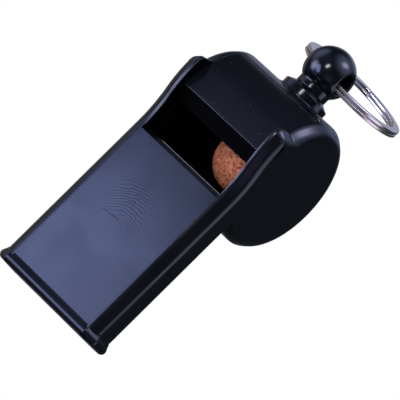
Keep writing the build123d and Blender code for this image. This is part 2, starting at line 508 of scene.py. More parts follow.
def _cloud(g: Graph, given: Any) -> dict[str, Any]:
    """Broad soft patches with a little finer mottling.

    Args:
        g: the group's nodes.
        given: sockets of the group's inputs.

    Returns:
        Socket for each output.
    """
    broad = g.noise(given["Vector"], given["Scale"], 2.0, 0.5)
    fine_scale = g.math("MULTIPLY", given["Scale"], 7.0)
    fine = g.noise(given["Vector"], fine_scale, 3.0, 0.6)
    mixed = g.math("ADD", g.math("MULTIPLY", broad, 0.8), g.math("MULTIPLY", fine, 0.2))
    return {"Mask": g.between(mixed, 0.32, 0.68, 0.0, 1.0)}


def _specks(g: Graph, given: Any) -> dict[str, Any]:
    """Sparse grains of dust: small discs round random points, more where a broad noise is high.

    Args:
        g: the group's nodes.
        given: sockets of the group's inputs.

    Returns:
        Socket for each output.
    """
    cells = g.add("TexVoronoi", {"Vector": given["Vector"], "Scale": given["Scale"], "Randomness": 1.0})
    grain = g.between(cells.outputs["Distance"], 0.05, 0.17, 1.0, 0.0)
    pick = g.add("SeparateColor", {0: cells.outputs["Color"]}).outputs[0]
    broad = g.noise(given["Vector"], g.math("MULTIPLY", given["Scale"], 0.14), 2.0, 0.5)
    drift = g.between(broad, 0.45, 0.65, 0.2, 2.0)
    chosen = g.math("LESS_THAN", pick, g.math("MULTIPLY", given["Cover"], drift))
    return {"Mask": g.math("MULTIPLY", grain, chosen)}


def _swirls(g: Graph, given: Any) -> dict[str, Any]:
    """Fine curved polishing lines: close rings bent by a noise, kept near one place and in patches.

    Args:
        g: the group's nodes.
        given: sockets of the group's inputs.

    Returns:
        Socket for each output.
    """
    aside = g.vector("ADD", given["Vector"], SWIRL_ASIDE)
    bent = {"Distortion": 9.0, "Detail": 2.0, "Detail Scale": 0.5}
    rings = g.add("TexWave", {"Vector": aside, "Scale": given["Scale"], **bent},
                  wave_type="RINGS", rings_direction="SPHERICAL")
    where = g.noise(given["Vector"], g.math("MULTIPLY", given["Scale"], 0.12), 2.0, 0.5)
    patch = g.between(where, 0.36, 0.6, 0.0, 1.0)
    away = g.length(given["Vector"])
    near = g.between(away, given["Reach"], g.math("MULTIPLY", given["Reach"], 2.6), 1.0, 0.0)
    return {"Height": g.math("MULTIPLY", g.math("MULTIPLY", rings.outputs[1], patch), near)}


def _scratch(g: Graph, given: Any) -> dict[str, Any]:
    """A short thin scratch across: narrow along x, held to a length along y, broken by a noise.

    Args:
        g: the group's nodes.
        given: sockets of the group's inputs.

    Returns:
        Socket for each output.
    """
    x, y, _ = g.add("SeparateXYZ", {0: given["Vector"]}).outputs
    bent = g.math("ADD", x, g.math("MULTIPLY", y, 0.1))
    thin = g.between(g.math("ABSOLUTE", bent), 0.00003, 0.00014, 1.0, 0.0)
    short = g.between(g.math("ABSOLUTE", y), 0.0015, 0.0021, 1.0, 0.0)
    broken = g.between(g.noise(given["Vector"], 1500.0, 2.0, 0.5), 0.35, 0.6, 0.1, 1.0)
    return {"Mask": g.math("MULTIPLY", g.math("MULTIPLY", thin, short), broken)}


CLOUD = effect("mould_cloud", {"Scale": 60.0}, ("Mask",), _cloud)
SPECKS = effect("dust_specks", {"Scale": 900.0, "Cover": 0.04}, ("Mask",), _specks)
SWIRLS = effect("polish_swirls", {"Scale": 700.0, "Reach": 0.004}, ("Height",), _swirls)
SCRATCH = effect("short_scratch", {}, ("Mask",), _scratch)


class Coords(Enum):
    """Where a finish takes its pattern from."""

    OBJECT = "Object"
    UV = "UV"


@dataclass(frozen=True)
class Finish:
    """A finish with a name; subclasses lay out its nodes.

    Lengths are in metres and scales are counts per metre, like the coordinates of the patterns.
    """

    name: str

    def material(self) -> bpy.types.Material:
        """Makes the material.

        Returns:
            The material with this finish's nodes laid out.
        """
        made = bpy.data.materials.new(self.name)
        made.use_nodes = True
        graph = Graph(made.node_tree)
        shader = made.node_tree.nodes["Principled BSDF"]
        self.lay(graph, shader)
        return made

    def lay(self, g: Graph, shader: bpy.types.Node) -> None:
        """Adds this finish's nodes; each subclass has its own."""
        raise NotImplementedError

    @staticmethod
    def place(g: Graph, kind: Coords = Coords.OBJECT) -> bpy.types.NodeSocket:
        """Socket of the coordinates that a pattern follows."""
        return g.add("TexCoord").outputs[kind.value]

    @staticmethod
    def moved(g: Graph, where: Any, place: Triple) -> bpy.types.NodeSocket:
        """Coordinates counted from a place of the part, in metres."""
        return g.vector("SUBTRACT", where, place)

    @staticmethod
    def emboss(g: Graph, shader: bpy.types.Node, height: Any, strength: float, reach: float) -> None:
        """Bumps the surface by a height, with a strength and a reach in metres."""
        bump = g.add("Bump", {"Strength": strength, "Distance": reach, "Height": height})
        g.feed(shader, "Normal", bump.outputs[0])

    @staticmethod
    def shared(g: Graph, tree: bpy.types.NodeTree, vector: Any, **values: float) -> Any:
        """Places a shared effect in this material with its own values.

        Args:
            g: the material's nodes.
            tree: the effect.
            vector: coordinates that it follows.
            values: numbers for its other inputs.

        Returns:
            The effect's outputs.
        """
        node = g.add("Group", node_tree=tree)
        g.feed(node, "Vector", vector)
        for key, value in values.items():
            g.feed(node, key.capitalize(), value)
        return node.outputs


@dataclass(frozen=True)
class BlackMoulding(Finish):
    """Polished black plastic with soft colour clouds, polishing lines, dust and painted highlight lines on
    chosen edges.
    """

    tint_a: Colour = (0.0016, 0.0025, 0.0034, 1.0)
    tint_b: Colour = (0.0022, 0.0024, 0.0040, 1.0)
    dust: Colour = (0.07, 0.078, 0.085, 1.0)
    # Light grey of the painted highlight lines along chosen edges
    edge: Colour = (0.45, 0.44, 0.44, 1.0)
    smooth: float = 0.2
    dull: float = 0.27
    dust_cover: float = 0.012
    dust_dull: float = 0.35
    line_depth: float = 0.02
    scratch: float = 0.0
    specular: float = 0.5
    refraction: float = 1.5
    cloud_scale: float = 75.0
    dust_scale: float = 1700.0
    line_scale: float = 640.0
    grain_scale: float = 2600.0
    grain_share: float = 0.35
    bump_reach: float = 0.0002
    lines_at: Triple = (-0.0130, 0.0048, 0.032)
    scratch_at: Triple = (-0.0141, 0.0018, 0.032)

    def lay(self, g: Graph, shader: bpy.types.Node) -> None:
        """Clouds vary colour and roughness, dust lightens both, painted highlight lines lighten chosen
        edges, polishing lines bump, a scratch dulls.

        Args:
            g: the material's nodes.
            shader: its surface shader.
        """
        where = self.place(g)
        cloud = self.shared(g, CLOUD, where, scale=self.cloud_scale)["Mask"]
        dust = self.shared(g, SPECKS, where, scale=self.dust_scale, cover=self.dust_cover)["Mask"]
        centre = self.moved(g, where, self.lines_at)
        lines = self.shared(g, SWIRLS, centre, scale=self.line_scale)["Height"]
        scratch = self.shared(g, SCRATCH, self.moved(g, where, self.scratch_at))["Mask"]
        body = g.blend(dust, g.blend(cloud, self.tint_a, self.tint_b), self.dust)
        # The edge attribute paints highlight lines in the light edge grey
        edge_glint = g.add("Attribute", attribute_name="painted_glint").outputs["Fac"]
        g.feed(shader, "Base Color", g.blend(edge_glint, body, self.edge))
        worn = g.between(cloud, 0.0, 1.0, self.smooth, self.dull)
        dusty = g.math("MULTIPLY", dust, self.dust_dull)
        marks = g.math("ADD", dusty, g.math("MULTIPLY", scratch, self.scratch))
        g.feed(shader, "Roughness", g.math("ADD", worn, marks, clamp=True))
        grain = g.noise(where, self.grain_scale, 2.0, 0.5)
        height = g.math("ADD", lines, g.math("MULTIPLY", grain, self.grain_share))
        self.emboss(g, shader, height, self.line_depth, self.bump_reach)
        g.feed(shader, "IOR", self.refraction)
        g.feed(shader, "Specular IOR Level", self.specular)


@dataclass(frozen=True)
class CorkFinish(Finish):
    """Bare reddish cork: warm mottling, dark pores and short dark streaks."""

    light: Colour = (0.74, 0.285, 0.155, 1.0)
    deep: Colour = (0.5, 0.16, 0.08, 1.0)
    pore: Colour = (0.13, 0.03, 0.018, 1.0)
    smooth: float = 0.78
    dull: float = 0.92
    specular: float = 0.2
    mottle_scale: float = 900.0
    pore_scale: float = 2300.0
    grain_scale: float = 2600.0
    patch_scale: float = 420.0
    bump: float = 0.45
    bump_reach: float = 0.0002

    def lay(self, g: Graph, shader: bpy.types.Node) -> None:
        """A noise mixes the browns; small cells make the pores, which are also sunk; noises add stains.

        Args:
            g: the material's nodes.
            shader: its surface shader.
        """
        where = self.place(g)
        mottle = g.between(g.noise(where, self.mottle_scale, 4.0, 0.65), 0.35, 0.65, 0.0, 1.0)
        body = g.blend(mottle, self.deep, self.light)
        cells = g.add("TexVoronoi", {"Vector": where, "Scale": self.pore_scale, "Randomness": 1.0})
        pore = g.between(cells.outputs["Distance"], 0.14, 0.34, 1.0, 0.0)
        grain = g.between(g.noise(where, self.grain_scale, 3.0, 0.6), 0.47, 0.62, 0.0, 0.8)
        patch = g.between(g.noise(where, self.patch_scale, 3.0, 0.6), 0.52, 0.66, 0.0, 0.3)
        stain = g.math("MAXIMUM", g.math("MULTIPLY", pore, 0.5), g.math("MAXIMUM", grain, patch))
        g.feed(shader, "Base Color", g.blend(stain, body, self.pore))
        g.feed(shader, "Roughness", g.between(mottle, 0.0, 1.0, self.dull, self.smooth))
        height = g.math("SUBTRACT", mottle, g.math("MULTIPLY", pore, 0.8))
        self.emboss(g, shader, height, self.bump, self.bump_reach)
        g.feed(shader, "Specular IOR Level", self.specular)


@dataclass(frozen=True)
class BrightMetal(Finish):
    """Plated or plain steel with drawing lines along the wire and faint tarnish."""

    base: Colour = (0.76, 0.695, 0.62, 1.0)
    tarnish: Colour = (0.58, 0.45, 0.38, 1.0)
    smooth: float = 0.15
    dull: float = 0.23
    coords: Coords = Coords.UV
    line_scale: Triple = (1.5, 70.0, 1.0)
    metallic: float = 0.94
    tarnish_scale: float = 140.0
    tarnish_share: float = 0.6
    bump: float = 0.02
    bump_reach: float = 0.0001

    def lay(self, g: Graph, shader: bpy.types.Node) -> None:
        """Stretched noise draws lines along the wire; a broad noise adds warm tarnish.

        Args:
            g: the material's nodes.
            shader: its surface shader.
        """
        where = self.place(g, self.coords)
        turned = g.add("Mapping", {"Vector": where, "Scale": self.line_scale}).outputs[0]
        lines = g.noise(turned, 1.0, 1.0, 0.5)
        cloud = self.shared(g, CLOUD, self.place(g), scale=self.tarnish_scale)["Mask"]
        stain = g.math("MULTIPLY", cloud, self.tarnish_share)
        g.feed(shader, "Base Color", g.blend(stain, self.base, self.tarnish))
        g.feed(shader, "Metallic", self.metallic)
        g.feed(shader, "Roughness", g.between(lines, 0.3, 0.7, self.smooth, self.dull))
        self.emboss(g, shader, lines, self.bump, self.bump_reach)


# Pieces

@dataclass
class BarrelShell:
    """Barrel with its lip, windway floor, lower bead and the boss for the swivel, as one skin.

    Each glint is the reach of a painted highlight line along an edge and its strength, 0 to 1. The skin is
    the depth below the barrel's surface at which the darker inside finish, painted shade, begins. The shares
    are the most of the boss's height that its foot's and its edge's rounding take.
    """

    lip_edge_x: float = -2.1
    lip_edge_flat: float = 0.15
    lip_top_x: float = 0.28
    lip_round: float = 0.1
    lip_glint: Pair = (0.045, 0.06)
    floor_rear_x: float = -8.1
    floor_exit: float = 8.8
    floor_mouth: float = 7.6
    floor_fall: Pair = (1.2, 0.32)
    floor_round: float = 0.1
    floor_glint: Pair = (0.1, 0.6)
    glint_to_y: float = 6.1
    bead_root: float = 0.15
    bead_round: float = 0.35
    tip_round: float = 0.2
    seam_angle: float = 27.0
    seam_width: float = 0.32
    seam_depth: float = 0.24
    seam_glint: Pair = (0.02, 0.25)
    skin: float = 0.08
    boss_radius: float = 4.7
    boss_edge: float = 0.2
    boss_foot: float = 0.35
    foot_share: float = 0.5
    foot_from: float = 0.2
    edge_share: float = 0.4
    bore_radius: float = 2.32
    pocket_radius: float = 2.95
    pocket_floor_x: float = 10.6
    window_half: float = 5.4
    window_steps: int = 28
    spread_rows: int = 7
    round_rows: int = 5
    across: int = 71

    def profile(self) -> tuple[Array, int, int]:
        """Closed outline in x, z.

        It runs over the barrel to the rear, round to the heel, along the mouthpiece and back inside.

        Returns:
            The outline, and the first row of the boss's window outside and inside.
        """
        p = PLAN
        wall, hollow = p.barrel_radius, p.chamber_radius
        top, foot = p.stem_z + self.window_half, p.stem_z - self.window_half
        outer = [math.degrees(math.asin(v / wall)) for v in (top, foot)]
        inner = [math.degrees(math.asin(v / hollow)) for v in (foot, top)]
        lip = math.degrees(math.acos(self.lip_top_x / wall))
        half = math.degrees(self.seam_width / wall / 2)
        sill = 180 - math.degrees(math.acos(-self.floor_rear_x / hollow)) - 360
        edge = math.degrees(math.acos(self.lip_edge_x / hollow))
        edge_z = math.sqrt(hollow**2 - self.lip_edge_x**2)
        bead_x, bead_z = p.tip_x + p.bead_length, p.mouth_bottom - p.bead_height
        runs = [
            arc(wall, lip, self.seam_angle + half, count=80),
            arc(wall - self.seam_depth, self.seam_angle + half, self.seam_angle - half, count=3),
            arc(wall, self.seam_angle - half, outer[0], count=24)[:-1],
            arc(wall, outer[0], outer[1], self.window_steps + 1),
            arc(wall, outer[1], p.heel(), count=150)[1:],
            np.array([[bead_x, p.mouth_bottom], [bead_x, bead_z], [p.tip_x, bead_z]]),
            np.array([[p.tip_x, self.floor_mouth], [self.floor_rear_x - self.floor_fall[0], self.floor_exit],
                      [self.floor_rear_x, self.floor_exit - self.floor_fall[1]]]),
            arc(hollow, sill, inner[0], count=130)[:-1],
            arc(hollow, inner[0], inner[1], self.window_steps + 1),
            arc(hollow, inner[1], edge, count=70)[1:-1],
            np.array([[self.lip_edge_x, edge_z - self.lip_edge_flat],
                      [self.lip_edge_x, edge_z + self.lip_edge_flat]]),
        ]
        path, starts = join(runs)
        bead = starts[5]
        tip = starts[6]
        radii = {0: self.lip_round, bead + 1: self.bead_root, bead + 2: self.bead_round,
                 tip: self.tip_round, tip + 2: self.floor_round}
        outside, inside = starts[3], starts[8]
        # A rounded corner has its arc's points and two spare ones in place of one
        extra = CORNER_STEPS + 1
        return soften(path, radii), int(outside + extra), int(inside + extra * len(radii))

    def make(self, materials: list[bpy.types.Material]) -> bpy.types.Object:
        """Carries the outline across the whistle and grows the boss and its bore out of the two windows.

        Args:
            materials: finish of the outside and the darker painted-shade finish of the inside.

        Returns:
            The barrel's object.
        """
        p = PLAN
        path, outside, inside = self.profile()
        y = np.linspace(-p.core_half, p.core_half, self.across)
        points = np.stack([
            np.repeat(path[:, :1], self.across, axis=1),
            np.repeat(y[None], len(path), axis=0),
            np.repeat(path[:, 1:], self.across, axis=1),
        ], axis=2)
        c0 = int(np.searchsorted(y, -self.window_half))
        c1 = self.across - 1 - c0
        windows = tuple((row, row + self.window_steps, c0, c1) for row in (outside, inside))
        shell = Shell("barrel_shell")
        # Painted highlight lines along the windway floor's rear edge, the lip's edge and the seam's edge
        shell.grid(points, round_rows=True, windows=windows, painted_glint=self._painted_glints(path, y))
        shell.cap(points[:, 0])
        shell.cap(points[:, -1])
        flipped = self._flipped(windows[1], len(path))
        self._boss(shell, rim_of(points, windows[0]), rim_of(points[::-1], flipped))
        return shell.build(materials, "whistle", ("barrel_body",), self._hollow)

    def _hollow(self, middles: Array) -> Array:
        """True for faces inside the barrel's skin, which take the painted shade: the chamber, the lip's ramp
        and the seam's bottom.
        """
        return np.hypot(middles[:, 0], middles[:, 2]) < PLAN.barrel_radius - self.skin

    def _painted_glints(self, path: Array, y: Array) -> Array:
        """Painted highlight of the outline's points: the floor's rear edge, and less at the lip's and the
        seam's edge.

        Args:
            path: outline (n, 2) of x, z.
            y: places across the whistle.

        Returns:
            Array (n, len(y)), 0 where no highlight is painted.
        """
        wall = PLAN.barrel_radius
        floor = (self.floor_rear_x, self.floor_exit - self.floor_fall[1])
        lip = (self.lip_top_x, math.sqrt(wall**2 - self.lip_top_x**2))
        turn = math.radians(self.seam_angle) + self.seam_width / wall / 2
        seam = (wall * math.cos(turn), wall * math.sin(turn))

        def near(place: Pair, painted_glint: Pair) -> Array:
            """Column with the painted highlight's strength at the points within its reach of a place."""
            return (np.linalg.norm(path - place, axis=1) < painted_glint[0])[:, None] * painted_glint[1]

        floor_glint_line = near(floor, self.floor_glint) * (y < self.glint_to_y)[None]
        return floor_glint_line + near(lip, self.lip_glint) + near(seam, self.seam_glint)

    @staticmethod
    def _flipped(window: Window, rows: int) -> Window:
        """The same window counted from the grid's last row."""
        return rows - 1 - window[1], rows - 1 - window[0], window[2], window[3]

    def _boss(self, shell: Shell, outer: Array, inner: Array) -> None:
        """Adds rows of circles about the stem, from the outer window's rim to the inner one's.

        They run over the barrel to the boss's foot, up its wall, over its face, down the bore and out
        through the washer's pocket into the chamber.

        Args:
            shell: mesh that takes the rows.
            outer: rim (n, 3) of the window in the barrel's outside.
            inner: rim (n, 3) of the window in the chamber's wall.
        """
        p = PLAN
        turn = np.arctan2(outer[:, 2] - p.stem_z, outer[:, 1])

        def on(radius: Any, skin: float) -> Array:
            """The x at which a circle about the stem meets a cylinder about the barrel's axis."""
            z = p.stem_z + radius * np.sin(turn)
            return np.sqrt(skin**2 - z**2)

        def spread(loop: Array, radius: Any, skin: float) -> list[Array]:
            """Rows on a cylinder about the barrel's axis, from a rim to a circle about the stem.

            Args:
                loop: the rim.
                radius: the circle's radius.
                skin: the cylinder's radius.

            Returns:
                The rows, the rim first.
            """
            t = np.linspace(0.0, 1.0, self.spread_rows)[:, None, None]
            flat = loop[None, :, 1:] * (1 - t) + stem_circle(turn, radius, 0.0)[None, :, 1:] * t
            lift = np.sqrt(skin**2 - flat[:, :, 1:] ** 2)
            return list(np.concatenate([lift, flat], axis=2))

        tall = p.boss_face_x - on(self.boss_radius, p.barrel_radius)
        foot = np.minimum(self.boss_foot, tall * self.foot_share)
        rows = spread(outer, self.boss_radius + foot, p.barrel_radius)
        for t in np.linspace(self.foot_from, np.pi / 2, self.round_rows):
            radius = self.boss_radius + foot * (1 - np.sin(t))
            rows.append(stem_circle(turn, radius, on(radius, p.barrel_radius) + foot * (1 - np.cos(t))))
        edge = np.minimum(self.boss_edge, tall * self.edge_share)
        for t in np.linspace(0.0, np.pi / 2, self.round_rows):
            radius = self.boss_radius - edge * (1 - np.cos(t))
            rows.append(stem_circle(turn, radius, p.boss_face_x - edge * (1 - np.sin(t))))
        stations = [(self.bore_radius, p.boss_face_x), (self.bore_radius, self.pocket_floor_x),
                    (self.pocket_radius, self.pocket_floor_x)]
        rows += [stem_circle(turn, radius, x) for radius, x in stations]
        rows += spread(inner, self.pocket_radius, p.chamber_radius)[::-1]
        shell.grid(np.stack(rows), round_columns=True)


def bead_line() -> Array:
    """Section of the tip's bead, from its front to the plate behind it.

    A quarter of a circle rises to the crown, and half a wave, (1 - cos) / 2, falls to the plate.

    Returns:
        Array (n, 2) of x and the depth below the crown.
    """
    p = PLAN
    t = np.linspace(0.0, 1.0, p.bead_steps)
    rise = p.bead_crown * np.stack([1 - np.cos(t * np.pi / 2), 1 - np.sin(t * np.pi / 2)], axis=1)
    fall = np.stack([p.bead_crown + p.bead_slope * t, p.bead_height * (1 - np.cos(np.pi * t)) / 2], axis=1)
    return np.vstack([rise, fall[1:]]) + [p.tip_x, 0.0]


@dataclass
class RoofPlate:
    """Flat top plate of the mouthpiece with a soft bead across its tip."""

    under: float = 10.2
    rear_x: float = -8.95
    front_round: float = 0.2
    rear_round: float = 0.12
    under_round: float = 0.1

    def make(self, material: bpy.types.Material) -> bpy.types.Object:
        """Carries a side outline across: the bead's section, the flat plate and its rear edge.

        Args:
            material: the plate's finish.

        Returns:
            The plate's object.
        """
        p = PLAN
        bead = bead_line() * [1.0, -1.0] + [0.0, p.mouth_top + p.bead_height]
        path = np.vstack([
            [[p.tip_x, self.under]],
            bead,
            [[self.rear_x, p.mouth_top], [self.rear_x, self.under]],
        ])
        last = len(path) - 1
        path = soften(path, {0: self.front_round, last - 1: self.rear_round, last: self.under_round})
        shell = Shell("mouthpiece_roof")
        shell.prism(path, -p.core_half, p.core_half)
        return shell.build([material], "whistle", ("roof_plate",))


@dataclass
class SidePlate:
    """Side moulding: cheek and disc with a bevelled, softly rounded rim, and the end of the tip bead.

    The front lies a little behind the bead's tip, and the flat faces are closed well inside the rim.
    """

    side: Side
    behind_tip: float = 0.5
    rim_flat: float = 0.55
    bevel_across: float = 1.65
    bevel_drop: float = 1.2
    cheek_start_x: float = -8.5
    crest: Pair = (3.6, 13.7)
    step_top: Pair = (5.1, 12.8)
    step_foot_x: float = 5.7
    step_round: float = 0.06
    face_in: float = 4.0
    inner_edge: float = 0.05
    inner_glint: float = 0.12
    rim_edge: float = 1.25
    ridge: float = 2.0
    rim_steps: int = 9
    bead_rounds: tuple[float, ...] = (0.5, 0.8, 0.6, 0.5)
    bead_sink: float = 0.3
    disc_radius: float = 10.0
    disc_depth: float = 0.5
    disc_edge: float = 0.12
    disc_bite: float = 0.2
    skin: float = 0.01

    def outline(self) -> Array:
        """Closed clockwise outline: up the front, along the cheek, down the step, round the barrel.

        Returns:
            Array (n, 2) of x, z.
        """
        p = PLAN
        start = (self.cheek_start_x, p.mouth_top)
        middle = ((self.cheek_start_x + self.crest[0]) / 2, (p.mouth_top + self.crest[1]) / 2)
        foot = math.degrees(math.acos(self.step_foot_x / p.barrel_radius))
        front = p.tip_x + self.behind_tip
        runs = [
            np.array([[front, p.mouth_bottom], [front, p.mouth_top]]),
            tangent_arc(start, middle, heading=1.0, count=26),
            tangent_arc(self.crest, middle, heading=-1.0, count=26)[::-1][1:],
            tangent_arc(self.crest, self.step_top, heading=1.0, count=12)[1:],
            arc(p.barrel_radius, foot, p.heel(), count=190),
        ]
        path, starts = join(runs)
        return soften(path, {int(starts[4]): self.step_round})

    def make(self, materials: list[bpy.types.Material]) -> bpy.types.Object:
        """Carries the rim's profile round the outline and adds the bead's end and the locating disc.

        The profile is (depth inwards, y): the rim, rounded over into the bevel, and the broad ridge
        into the face.

        Args:
            materials: finish of the outside and the darker painted-shade finish of the inside.

        Returns:
            The plate's object.
        """
        p = PLAN
        outer = p.core_half + self.rim_flat + self.bevel_across
        sign = float(self.side.value)
        corners = np.array([
            [self.face_in, p.core_half],
            [0.0, p.core_half],
            [0.0, p.core_half + self.rim_flat],
            [self.bevel_drop, outer],
            [self.face_in, outer],
        ])
        rounds = {1: self.inner_edge, 2: self.rim_edge, 3: self.ridge}
        profile = soften(corners, rounds, self.rim_steps)[1:-1]
        path = self.outline()
        rows = inset(path, profile[:, 0])
        y = np.repeat(profile[:, 1:, None], len(path), axis=1) * sign
        grid = np.concatenate([rows[:, :, :1], y, rows[:, :, 1:]], axis=2)
        left = self.side is Side.LEFT
        shell = Shell("left_cheek_plate" if left else "right_cheek_plate")
        # Painted highlight line along the cheek's inner edge
        painted_glint = np.zeros(grid.shape[:2])
        on_cheek = (path[:, 0] > self.cheek_start_x) & (path[:, 1] > p.mouth_top)
        painted_glint[1:1 + self.rim_steps] = self.inner_glint * on_cheek
        shell.tube(grid, painted_glint)
        self._bead(shell, outer, sign)
        self._disc(shell, sign)
        node = "left_side_plate" if left else "right_side_plate"
        return shell.build(materials, "whistle", (node,), self._hollow)

    def _hollow(self, middles: Array) -> Array:
        """True for faces that look into the chamber and the windway; they take the painted shade."""
        return np.abs(middles[:, 1]) < PLAN.core_half + self.skin

    def _bead(self, shell: Shell, outer: float, sign: float) -> None:
        """Adds the bead's end: a rounded loop in y, z carried along x, drawn in by the bead's depth.

        Args:
            shell: mesh that takes it.
            outer: y of the plate's outer face.
            sign: side of the whistle, +1 or -1.
        """
        p = PLAN
        h = p.bead_height
        loop = soften(np.array([
            [p.core_half, p.mouth_top + h],
            [p.core_half + self.rim_flat, p.mouth_top + h],
            [outer + h, p.mouth_top - self.bevel_drop],
            [outer + h, p.mouth_bottom + self.bevel_drop],
            [p.core_half + self.rim_flat, p.mouth_bottom - h],
            [p.core_half, p.mouth_bottom - h],
        ]), dict(enumerate(self.bead_rounds, 1)))
        sunk = [p.tip_x + p.bead_crown + p.bead_slope, h + self.bead_sink]
        x, deep = np.vstack([bead_line(), [sunk]]).T
        rows = inset(loop, deep)
        rows[:, :, 0] = np.maximum(rows[:, :, 0], p.core_half)
        lengths = np.repeat(x[:, None, None], len(loop), axis=1)
        grid = np.concatenate([lengths, rows[:, :, :1] * sign, rows[:, :, 1:]], axis=2)
        shell.tube(grid)

    def _disc(self, shell: Shell, sign: float) -> None:
        """Adds the locating disc inside the chamber: a flat round step with a chamfered edge.

        Args:
            shell: mesh that takes it.
            sign: side of the whistle, +1 or -1.
        """
        face = PLAN.core_half - self.disc_depth
        profile = np.array([
            [face, self.disc_radius - self.disc_edge],
            [face + self.disc_edge, self.disc_radius],
            [PLAN.core_half + self.disc_bite, self.disc_radius],
        ])
        turned = spin(profile, count=160)
        grid = np.stack([turned[:, :, 1], turned[:, :, 0] * sign, turned[:, :, 2]], axis=2)
        shell.tube(grid)


@dataclass
class CorkPea:
    """Loose cork ball: a sphere with shallow dents.

    Each wave is how fast it runs along x, y and z, and its phase.
    """

    radius: float = 5.2
    orbit: float = 4.75
    angle: float = 12.0
    dent: float = 0.12
    waves: tuple[tuple[Triple, float], ...] = (
        ((5.1, 2.3, 0.0), 0.0),
        ((0.0, 6.7, -3.9), 1.0),
        ((4.1, 0.0, 8.3), 2.0),
    )
    rows: int = 90
    around: int = 180

    def make(self, material: bpy.types.Material) -> bpy.types.Object:
        """Sphere by latitude and longitude, drawn in by a sum of slow sine waves of its own direction.

        Args:
            material: the pea's finish.

        Returns:
            The pea's object.
        """
        u = np.linspace(0.0, np.pi, self.rows)[:, None]
        v = np.linspace(0.0, 2 * np.pi, self.around, endpoint=False)[None]
        d = np.stack([np.sin(u) * np.cos(v), np.cos(u) + 0 * v, np.sin(u) * np.sin(v)], axis=2)
        height = sum(np.sin(d @ np.array(way) + phase) for way, phase in self.waves)
        many = len(self.waves)
        reach = self.radius - self.dent * (height + many) / (2 * many)
        turn = math.radians(self.angle)
        centre = np.array([-self.orbit * math.sin(turn), 0.0, -self.orbit * math.cos(turn)])
        shell = Shell("cork_ball")
        shell.grid(d * reach[:, :, None] + centre, round_columns=True)
        return shell.build([material], "pea", ("cork_pea",))


@dataclass
class SwivelCollar:
    """Flanged bush on the boss, turned from one rounded outline."""

    radius: float = 4.2
    bore: float = 1.6
    sleeve: float = 2.3
    inner_x: float = 10.6
    rear_chamfer: Pair = (0.6, 1.1)
    front_chamfer: float = 0.14
    rounds: tuple[float, ...] = (0.1, 0.16, 0.16, 0.08, 0.06)

    def make(self, material: bpy.types.Material) -> bpy.types.Object:
        """Spins a closed outline (x, r) about the stem.

        Args:
            material: the collar's finish.

        Returns:
            The collar's object.
        """
        p = PLAN
        face = p.collar_face_x
        path = soften(np.array([
            [self.inner_x, self.bore],
            [face, self.bore],
            [face, self.radius - self.rear_chamfer[1]],
            [face - self.rear_chamfer[0], self.radius],
            [p.boss_face_x + self.front_chamfer, self.radius],
            [p.boss_face_x, self.radius - self.front_chamfer],
            [p.boss_face_x, self.sleeve],
            [self.inner_x, self.sleeve],
        ]), dict(enumerate(self.rounds, 1)))
        shell = Shell("stem_collar")
        turned = spin(path, count=160) + np.array([0.0, 0.0, p.stem_z])
        shell.grid(turned, round_rows=True, round_columns=True)
        return shell.build([material], "whistle", ("swivel_collar",))


